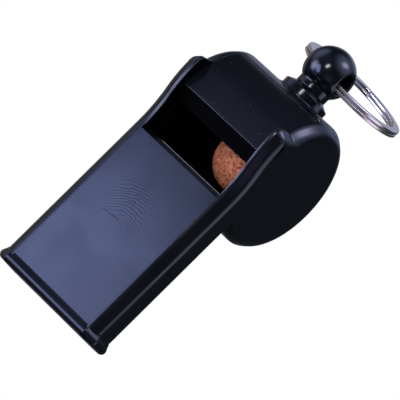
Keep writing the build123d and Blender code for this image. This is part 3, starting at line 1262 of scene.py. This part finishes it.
@dataclass
class BallKnob:
    """Cross-drilled ball on a neck and shank, as one skin.

    The neck's flare is how much wider it is than the neck, and how far from the ball's skin.
    """

    hole: float = 1.85
    hole_round: float = 0.35
    neck: float = 2.9
    neck_front_x: float = 13.7
    neck_edge: float = 0.16
    neck_foot: float = 0.22
    neck_flare: tuple[Pair, ...] = ((0.09, 0.1), (0.02, 0.26), (0.0, 0.45))
    shank: float = 1.55
    shank_end_x: float = 10.1
    shank_chamfer: float = 0.1
    window_half: float = 3.15
    window_steps: int = 30
    margin_steps: int = 4
    mouth_steps: int = 10
    wall_steps: int = 9
    spread_rows: int = 6
    round_rows: int = 6
    around: int = 176

    def make(self, material: bpy.types.Material) -> bpy.types.Object:
        """Spins the ball's section about the hole and grows the neck and shank out of a window in it.

        The section is (y, r): the ball from one hole mouth to the other, a rounded mouth, the hole's
        wall and the other mouth.

        Args:
            material: the knob's finish.

        Returns:
            The knob's object.
        """
        p = PLAN
        rho = self.hole + self.hole_round
        reach = p.ball_radius - self.hole_round
        mouth_y = math.sqrt(reach**2 - rho**2)
        lean = math.atan2(mouth_y, rho)
        edge_y = p.ball_radius * math.sin(lean)
        window = np.linspace(-self.window_half, self.window_half, self.window_steps + 1)
        margin = np.linspace(self.window_half, edge_y, self.margin_steps + 1)[1:]
        y = np.concatenate([-margin[::-1], window, margin])
        outside = np.stack([y, np.sqrt(p.ball_radius**2 - y**2)], axis=1)
        t = np.linspace(lean, np.pi, self.mouth_steps)[1:]
        right = np.stack([mouth_y + self.hole_round * np.sin(t), rho + self.hole_round * np.cos(t)], axis=1)
        wall_y = np.linspace(mouth_y, -mouth_y, self.wall_steps)[1:-1]
        wall = np.stack([wall_y, np.full_like(wall_y, self.hole)], axis=1)
        left = right[::-1] * [-1.0, 1.0]
        section = np.vstack([outside, right, wall, left])
        lam = np.linspace(-np.pi, np.pi, self.around, endpoint=False)
        points = np.stack([
            p.ball_x - section[:, 1:] * np.cos(lam),
            np.repeat(section[:, :1], self.around, axis=1),
            p.stem_z + section[:, 1:] * np.sin(lam),
        ], axis=2)
        wide = math.asin(self.window_half / p.ball_radius)
        c0 = int(np.searchsorted(lam, -wide)) - 1
        c1 = int(np.searchsorted(lam, wide)) + 1
        spot = (self.margin_steps, self.margin_steps + self.window_steps, c0, c1)
        shell = Shell("ring_knob")
        shell.grid(points, round_rows=True, round_columns=True, windows=(spot,))
        self._neck(shell, rim_of(points, spot))
        return shell.build([material], "knob", ("ball_knob",))

    def _neck(self, shell: Shell, loop: Array) -> None:
        """Adds rows of circles about the stem.

        They run over the ball to the neck's foot, along the neck and down to the shank's end.

        Args:
            shell: mesh that takes the rows.
            loop: rim (n, 3) of the window in the ball.
        """
        p = PLAN
        turn = np.arctan2(loop[:, 2] - p.stem_z, loop[:, 1])

        foot = self.neck + self.neck_foot
        t = np.linspace(0.0, 1.0, self.spread_rows)[:, None, None]
        flat = loop[None, :, 1:] * (1 - t) + stem_circle(turn, foot, 0.0)[None, :, 1:] * t
        far = (flat[:, :, 0] ** 2 + (flat[:, :, 1] - p.stem_z) ** 2)[:, :, None]
        rows = list(np.concatenate([p.ball_x - np.sqrt(p.ball_radius**2 - far), flat], axis=2))
        base = p.ball_x - math.sqrt(p.ball_radius**2 - foot**2)
        front, edge = self.neck_front_x, self.neck_edge
        stations = [(self.neck + wider, base - away) for wider, away in self.neck_flare]
        stations += [(self.neck, front + 2 * edge)]
        stations += [(self.neck - edge * (1 - math.cos(a)), front + edge * (1 - math.sin(a)))
                     for a in np.linspace(0.0, np.pi / 2, self.round_rows)]
        stations += [(self.shank, front), (self.shank, self.shank_end_x + self.shank_chamfer)]
        stations += [(self.shank - self.shank_chamfer, self.shank_end_x)]
        rows += [stem_circle(turn, radius, x) for radius, x in stations]
        shell.grid(np.stack(rows), round_columns=True)
        shell.cap(rows[-1])


@dataclass
class ShankWasher:
    """Retaining washer sunk in the chamber's wall; it keeps its solid's mesh."""

    node: str = "shank_washer"

    def dress(self, material: bpy.types.Material) -> None:
        """Gives the solid's mesh its finish.

        Args:
            material: the washer's finish.
        """
        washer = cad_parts[self.node]
        washer.data.materials.clear()
        washer.data.materials.append(material)
        log.info("%s: keeps its solid's mesh", self.node)


@dataclass
class SplitRing:
    """Flat wire wound twice, stepping from one turn to the other in a short joggle."""

    radius: float = 9.82
    wire_width: float = 1.4
    wire_thick: float = 0.545
    half_height: float = 0.605
    offset: float = 8.62
    slip: float = -0.5
    shift: float = 0.57
    swing: float = 13.6
    yaw: float = 7.15
    joggle: Pair = (225.0, 255.0)
    end_gap: float = 3.0
    wire_edge: float = 0.17
    wire_steps: int = 8
    around: int = 720

    def axes(self) -> tuple[Array, Array, Array, Array]:
        """Works out how the ring hangs from the ball.

        Returns:
            The ring's centre, the direction to the ball, the direction along the hole and the ring's axis.
        """
        swing, yaw = math.radians(self.swing), math.radians(self.yaw)
        up = np.array([-math.sin(swing), 0.0, math.cos(swing)])
        axis = np.array([math.cos(yaw) * math.cos(swing), -math.sin(yaw), math.cos(yaw) * math.sin(swing)])
        along = np.cross(axis, up)
        ball = np.array([PLAN.ball_x, 0.0, PLAN.stem_z])
        centre = ball - self.offset * up + self.slip * axis + self.shift * along
        return centre, up, along, axis

    def make(self, material: bpy.types.Material) -> bpy.types.Object:
        """Carries a rounded wire section along two turns.

        The section's height eases from one turn to the other in the joggle, as 3t^2 - 2t^3.

        Args:
            material: the wire's finish.

        Returns:
            The ring's object.
        """
        centre, up, along, axis = self.axes()
        arc_length = 360 - (self.joggle[1] - self.joggle[0]) - self.end_gap
        angle = np.linspace(self.joggle[0] - arc_length, self.joggle[1] + arc_length, self.around)
        t = np.clip((angle - self.joggle[0]) / (self.joggle[1] - self.joggle[0]), 0.0, 1.0)
        level = (self.half_height - self.wire_thick / 2) * (2 * t * t * (3 - 2 * t) - 1)
        w, h = self.wire_width / 2, self.wire_thick / 2
        corners = np.array([[-w, -h], [-w, h], [w, h], [w, -h]])
        section = soften(corners, dict.fromkeys(range(4), self.wire_edge), self.wire_steps)
        a = np.radians(angle)[:, None, None]
        radial = up * np.cos(a) + along * np.sin(a)
        out = (self.radius - w + section[None, :, :1]) * radial
        rows = centre + out + (level[:, None, None] + section[None, :, 1:]) * axis
        shell = Shell("key_ring")
        shell.tube(rows)
        piece = shell.build([material], "ring", ("split_ring",))
        self._unwrap(piece.data, centre, up, along, axis)
        return piece

    def _unwrap(self, mesh: bpy.types.Mesh, centre: Array, up: Array, along: Array, axis: Array) -> None:
        """Gives the wire a map with u round the ring and v across it, so that its lines follow the wire.

        Args:
            mesh: the ring's mesh.
            centre: the ring's centre.
            up: direction to the ball.
            along: direction along the hole.
            axis: the ring's axis.
        """
        co = np.empty(len(mesh.vertices) * 3)
        mesh.vertices.foreach_get("co", co)
        d = co.reshape(-1, 3) / MM - PLAN.axis() - centre
        angle = np.arctan2(d @ along, d @ up) / (2 * np.pi)
        across = (np.hypot(d @ along, d @ up) + d @ axis) / self.radius
        loops = np.empty(len(mesh.loops), int)
        mesh.loops.foreach_get("vertex_index", loops)
        layer = mesh.uv_layers.new(name="wire")
        layer.data.foreach_set("uv", np.stack([np.abs(angle), across], axis=1)[loops].ravel())


# Studio

@dataclass(frozen=True)
class Lamp:
    """A soft oval lamp that faces a point of the part; places are from the barrel's axis."""

    name: str
    place: Triple
    target: Triple
    size: Pair
    radiance: float
    colour: Triple
    mirrored: bool = True
    matt: bool = True

    def make(self) -> None:
        """Adds the lamp.

        Its power is pi * area * radiance, with area pi / 4 * width * height, so that the radiance is
        what a mirror would show.
        """
        data = bpy.data.lights.new(self.name, "AREA")
        data.shape = "ELLIPSE"
        data.size = self.size[0] * MM
        data.size_y = self.size[1] * MM
        data.energy = math.pi * math.pi / 4 * data.size * data.size_y * self.radiance
        data.color = self.colour
        lamp = bpy.data.objects.new(self.name, data)
        axis = Vector(PLAN.axis())
        at = (Vector(self.place) + axis) * MM
        facing = at - (Vector(self.target) + axis) * MM
        lamp.matrix_world = Matrix.Translation(at) @ facing.to_track_quat("Z", "Y").to_matrix().to_4x4()
        lamp.visible_glossy = self.mirrored
        lamp.visible_diffuse = self.matt
        show(lamp)


@dataclass(frozen=True)
class Glow:
    """A soft bright patch of the room that gloss and metal show, round a direction."""

    toward: Triple
    reach: Triple
    colour: Triple
    radiance: float
    core: float

    def strength(self, g: Graph, way: Any) -> bpy.types.NodeSocket:
        """Light of the patch: full inside the core, fading to nothing at the reach along each axis.

        Args:
            g: the world's nodes.
            way: direction in which the room is seen.

        Returns:
            Socket of the colour.
        """
        away = g.vector("SUBTRACT", way, Vector(self.toward).normalized())
        far = g.length(g.vector("DIVIDE", away, self.reach))
        fade = g.between(far, self.core, 1.0, self.radiance, 0.0)
        return g.add("VectorMath", {0: self.colour, "Scale": fade}, operation="SCALE").outputs[0]


@dataclass
class Studio:
    """Camera, lamps, floor and background.

    Angles are in degrees; the floor's sizes and the end of the view are in metres.
    """

    elevation: float = 62.32
    azimuth: float = -8.36
    roll: float = 37.25
    focal_px: float = 4500.0
    px_per_mm: float = 6.5421
    axis_px: Pair = (242.22, 148.72)
    image_px: float = 400.0
    sensor: float = 36.0
    view_end: float = 10.0
    floor_drop: float = 0.12
    floor_half: float = 6.0
    floor_tint: Colour = (0.12, 0.12, 0.13, 1.0)
    white: Colour = (1.0, 1.0, 1.0, 1.0)
    even_tint: Colour = (0.95, 0.97, 1.0, 1.0)
    even_light: float = 0.35
    room: Triple = (0.044, 0.056, 0.07)
    lamps: tuple[Lamp, ...] = (
        Lamp("far_softbox", (-45.5, 60, 140), (-12, 0, 8), (100, 56), 6.9, (0.41, 0.495, 1.0)),
        Lamp("end_softbox", (43, -8, 150), (14, 0, 0), (30, 50), 17.0, (0.86, 0.9, 1.0), matt=False),
        Lamp("window_lamp", (-24, -14, 210), (-4, 0, 0), (66, 66), 24.0, (1.0, 0.97, 0.93), mirrored=False),
    )
    glows: tuple[Glow, ...] = (
        Glow((0.89, -0.43, 0.09), (0.27, 0.27, 0.42), (0.74, 0.68, 1.0), 8.0, 0.0),
        Glow((0.86, -0.42, 0.1), (0.9, 0.9, 0.9), (0.5, 0.56, 1.0), 2.0, 0.2),
        Glow((0.66, 0.0, -0.75), (0.45, 0.45, 0.45), (0.46, 0.62, 1.0), 0.9, 0.2),
        Glow((-0.3, -0.95, -0.25), (0.95, 0.6, 0.45), (0.7, 0.7, 1.0), 1.9, 0.3),
        Glow((0.47, 0.42, -0.78), (0.5, 0.5, 0.5), (0.62, 0.68, 1.0), 0.5, 0.3),
        Glow((0.5, 0.46, 0.74), (0.5, 0.5, 0.5), (0.4, 0.5, 1.0), 0.25, 0.2),
        Glow((0.0, 0.9, -0.45), (0.5, 0.4, 0.4), (1.0, 0.84, 0.76), 0.32, 0.3),
        Glow((-0.05, 0.45, -0.9), (0.3, 0.3, 0.3), (0.7, 0.72, 1.0), 0.4, 0.2),
        Glow((-0.31, 0.73, 0.61), (0.42, 0.42, 0.42), (0.58, 0.62, 1.0), 8.2, 0.1),
        Glow((0.42, 0.87, 0.26), (0.75, 0.42, 0.55), (0.5, 0.55, 1.0), 1.5, 0.25),
        Glow((-0.42, -0.62, 0.66), (0.42, 0.5, 0.5), (0.58, 0.55, 1.0), 0.35, 0.2),
    )

    def camera(self) -> None:
        """Places the camera by its fitted angles, so that the barrel's axis falls on its pixel."""
        e, a, roll = (math.radians(v) for v in (self.elevation, self.azimuth, self.roll))
        back = np.array([math.sin(a) * math.cos(e), -math.cos(a) * math.cos(e), math.sin(e)])
        right = np.array([math.cos(a), math.sin(a), 0.0])
        up = np.cross(back, right)
        across = math.cos(roll) * right - math.sin(roll) * up
        upward = math.sin(roll) * right + math.cos(roll) * up
        half = self.image_px / 2
        shift = ((self.axis_px[0] - half) * across - (self.axis_px[1] - half) * upward) / self.px_per_mm
        place = (PLAN.axis() - shift + back * self.focal_px / self.px_per_mm) * MM
        data = bpy.data.cameras.new("photo_view")
        data.sensor_width = self.sensor
        data.lens = self.focal_px / self.image_px * self.sensor
        data.clip_end = self.view_end
        view = bpy.data.objects.new("photo_view", data)
        turned = Matrix((across, upward, back)).transposed().to_4x4()
        view.matrix_world = Matrix.Translation(Vector(place)) @ turned
        show(view)
        bpy.context.scene.camera = view

    def floor(self) -> None:
        """A wide plain floor that the camera sees as white."""
        half = self.floor_half
        corners = np.array([[-half, -half], [half, -half], [half, half], [-half, half]])
        mesh = bpy.data.meshes.new("floor")
        mesh.from_pydata(np.insert(corners, 2, -self.floor_drop, axis=1), [], [[0, 1, 2, 3]])
        material = bpy.data.materials.new("pale_floor")
        material.use_nodes = True
        tree = material.node_tree
        tree.nodes.clear()
        g = Graph(tree)
        plain = g.add("BsdfDiffuse", {"Color": self.floor_tint})
        white = g.add("Emission", {"Color": self.white, "Strength": 1.0})
        seen = g.add("LightPath").outputs["Is Camera Ray"]
        mixed = g.add("MixShader", {0: seen, 1: plain.outputs[0], 2: white.outputs[0]})
        g.add("OutputMaterial", {0: mixed.outputs[0]})
        mesh.materials.append(material)
        ground = bpy.data.objects.new("floor", mesh)
        ground.visible_glossy = False
        show(ground)

    def world(self) -> None:
        """White to the camera, an even pale light on matt surfaces, a dim room with glows in gloss."""
        world = bpy.data.worlds.new("studio_room")
        world.use_nodes = True
        bpy.context.scene.world = world
        tree = world.node_tree
        tree.nodes.clear()
        g = Graph(tree)
        way = g.add("TexCoord").outputs["Generated"]
        total = g.add("CombineXYZ", dict(enumerate(self.room))).outputs[0]
        for glow in self.glows:
            total = g.vector("ADD", total, glow.strength(g, way))
        room = g.add("Background", {"Color": total, "Strength": 1.0})
        even = g.add("Background", {"Color": self.even_tint, "Strength": self.even_light})
        white = g.add("Background", {"Color": self.white, "Strength": 1.0})
        light = g.add("LightPath").outputs
        matt = g.add("MixShader", {0: light["Is Diffuse Ray"], 1: room.outputs[0], 2: even.outputs[0]})
        seen = g.add("MixShader", {0: light["Is Camera Ray"], 1: matt.outputs[0], 2: white.outputs[0]})
        g.add("OutputWorld", {0: seen.outputs[0]})

    def make(self) -> None:
        """Sets the stage up."""
        bpy.context.scene.view_settings.view_transform = "Standard"
        self.camera()
        self.floor()
        self.world()
        for lamp in self.lamps:
            lamp.make()


def main() -> None:
    """Dresses the whistle piece by piece and sets the studio."""
    logging.basicConfig(level=logging.INFO, format="%(name)s: %(message)s")
    moulding = BlackMoulding("black_moulding").material()
    top = BlackMoulding("black_top", line_depth=0.033, scratch=0.25).material()
    barrel = BlackMoulding("black_barrel", dust_cover=0.1).material()
    fitting = BlackMoulding("black_fitting", smooth=0.16, dull=0.21, dust_cover=0.02).material()
    # Darker, duller copy of the black moulding with little gloss for the chamber, the lip's ramp and the
    # seam's bottom: painted shade
    hollow = BlackMoulding("black_inside_painted_shade", tint_a=(0.0008, 0.0008, 0.0009, 1.0),
                           tint_b=(0.0011, 0.0010, 0.0011, 1.0), smooth=0.7, dull=0.8, dust_cover=0.0,
                           specular=0.04).material()
    BarrelShell().make([barrel, hollow])
    RoofPlate().make(top)
    SidePlate(Side.LEFT).make([moulding, hollow])
    SidePlate(Side.RIGHT).make([moulding, hollow])
    CorkPea().make(CorkFinish("cork").material())
    SwivelCollar().make(fitting)
    BallKnob().make(fitting)
    SplitRing().make(BrightMetal("nickel_plate").material())
    steel = BrightMetal("washer_steel", coords=Coords.OBJECT, line_scale=(400.0, 90.0, 90.0))
    ShankWasher().dress(steel.material())
    Studio().make()


if __name__ == "__main__":
    main()
